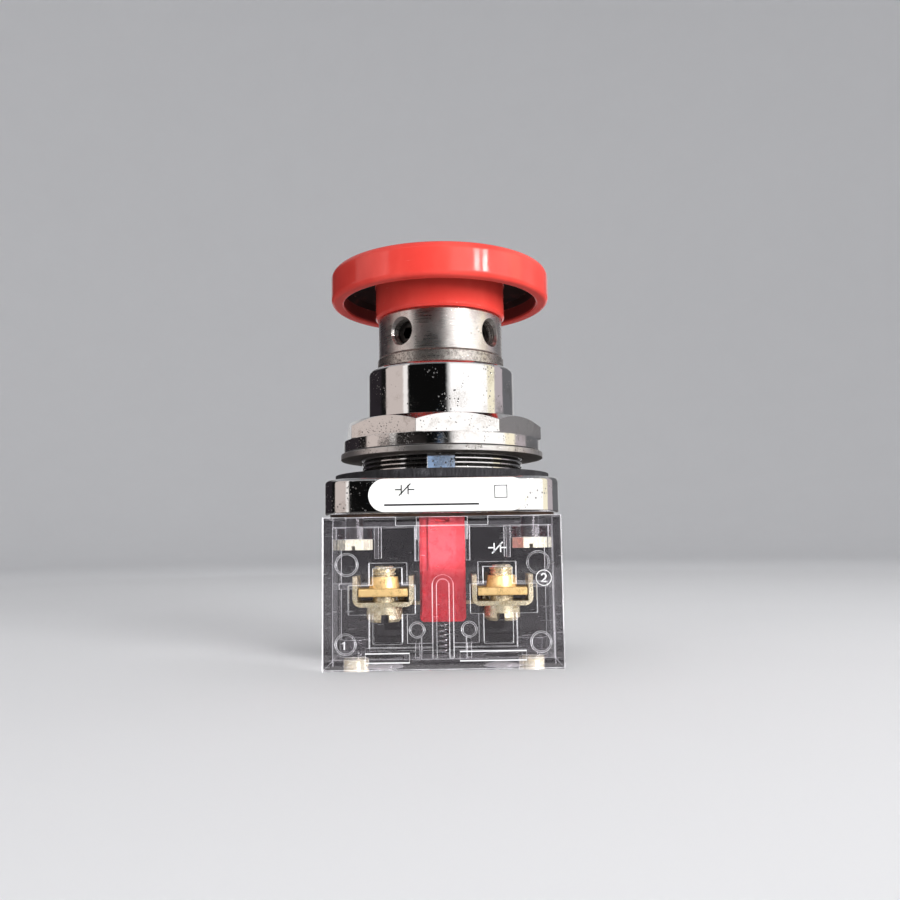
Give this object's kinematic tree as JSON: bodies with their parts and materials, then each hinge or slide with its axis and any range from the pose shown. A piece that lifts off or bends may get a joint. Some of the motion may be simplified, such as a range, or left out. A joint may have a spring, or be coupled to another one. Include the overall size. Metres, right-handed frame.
{
  "type": "emergency stop button",
  "caption": "Push-pull panel operator with a red mushroom head, threaded barrel, octagonal nut, square base and a clear contact block behind it.",
  "frame": {"origin": "on the push axis, in the plane of the gasket's front face, where the panel's rear face seats", "axes": "+Z along the push axis towards the mushroom head, -Y to the terminal side of the contact block, +X to the right seen from the terminal side"},
  "size_m": [0.0414, 0.0414, 0.0729],
  "materials": {
    "red_head": "glossy moulded red phenolic",
    "satin_nickel": "satin nickel plate",
    "raw_nickel": "dull rough plate",
    "dark_steel": "black oxide steel",
    "steel": "turned steel",
    "chrome": "bright chrome plate on die-cast zinc, lightly pitted",
    "seal_rubber": "black nitrile",
    "spring_steel": "spring wire",
    "nut_plate": "bright plate on cast nut, lightly pitted",
    "washer_steel": "plated steel",
    "gasket_rubber": "dark grey neoprene",
    "label": "white printed film, blank",
    "phenolic": "brown laminate",
    "clear_plastic": "clear polycarbonate",
    "red_plunger": "translucent red moulding",
    "brass": "pale machined brass",
    "gold_brass": "yellow brass",
    "nickel_brass": "nickel plated brass, thin plate",
    "silver": "silver contact rivet"
  },
  "bodies": {
    "operator": {"operator_body": "chrome", "sleeve_seal": "seal_rubber", "detent_balls": "steel", "detent_springs": "spring_steel", "detent_plugs": "steel", "panel_gasket": "gasket_rubber", "rating_label": "label", "base_plate": "phenolic", "block_base": "clear_plastic", "block_cover": "clear_plastic", "mounting_screws": "brass", "tandem_inserts": "brass", "plunger_spring": "spring_steel", "fixed_contact_left": "gold_brass", "fixed_contact_right": "gold_brass", "fixed_tips": "silver"},
    "push_head": {"mushroom_head": "red_head", "head_insert": "brass", "head_collar": "satin_nickel", "collar_set_screws": "dark_steel", "guide_sleeve": "raw_nickel", "operator_stem": "steel", "retaining_ring": "steel", "pusher_bar": "steel", "pusher_nut": "steel"},
    "plunger": {"contact_plunger": "red_plunger", "contact_bridge": "brass", "bridge_tips": "silver", "bridge_spring": "spring_steel"},
    "washer": {"thrust_washer": "washer_steel"},
    "nut": {"ring_nut": "nut_plate"},
    "saddle_left": {"saddle_clamp_left": "nickel_brass"},
    "screw_left": {"terminal_screw_left": "nickel_brass"},
    "saddle_right": {"saddle_clamp_right": "nickel_brass"},
    "screw_right": {"terminal_screw_right": "nickel_brass"}
  },
  "joints": [
    {"name": "head_push", "type": "slide", "parent": "operator", "child": "push_head", "axis": [0, 0, -1], "range_m": [0, 0.005]},
    {"name": "plunger_push", "type": "slide", "parent": "operator", "child": "plunger", "axis": [0, 0, -1], "range_m": [0, 0.005], "deforming": ["plunger_spring"]},
    {"name": "nut_travel", "type": "slide", "parent": "operator", "child": "washer", "axis": [0, 0, 1], "range_m": [-0.0027, 0.0019]},
    {"name": "nut_turn", "type": "hinge", "parent": "washer", "child": "nut", "pos_m": [0, 0, 0.0068], "axis": [0, 0, 1], "range_deg": [-1215.5, 855.5]},
    {"name": "clamp_travel_left", "type": "slide", "parent": "operator", "child": "saddle_left", "axis": [0, 0, 1], "range_m": [-0.0022, 0.0009]},
    {"name": "screw_turn_left", "type": "hinge", "parent": "saddle_left", "child": "screw_left", "pos_m": [-0.01, -0.013, -0.024], "axis": [0, 0, 1], "range_deg": [-1131.9, 463.4]},
    {"name": "clamp_travel_right", "type": "slide", "parent": "operator", "child": "saddle_right", "axis": [0, 0, 1], "range_m": [-0.0022, 0.0009]},
    {"name": "screw_turn_right", "type": "hinge", "parent": "saddle_right", "child": "screw_right", "pos_m": [0.01, -0.013, -0.024], "axis": [0, 0, 1], "range_deg": [-1131.9, 463.4]}
  ],
  "couplings": [
    {"joint": "plunger_push", "follows": "head_push", "ratio": 1},
    {"joint": "nut_turn", "follows": "nut_travel", "rad_per_m": 7854},
    {"joint": "screw_turn_left", "follows": "clamp_travel_left", "rad_per_m": 8976},
    {"joint": "screw_turn_right", "follows": "clamp_travel_right", "rad_per_m": 8976}
  ]
}
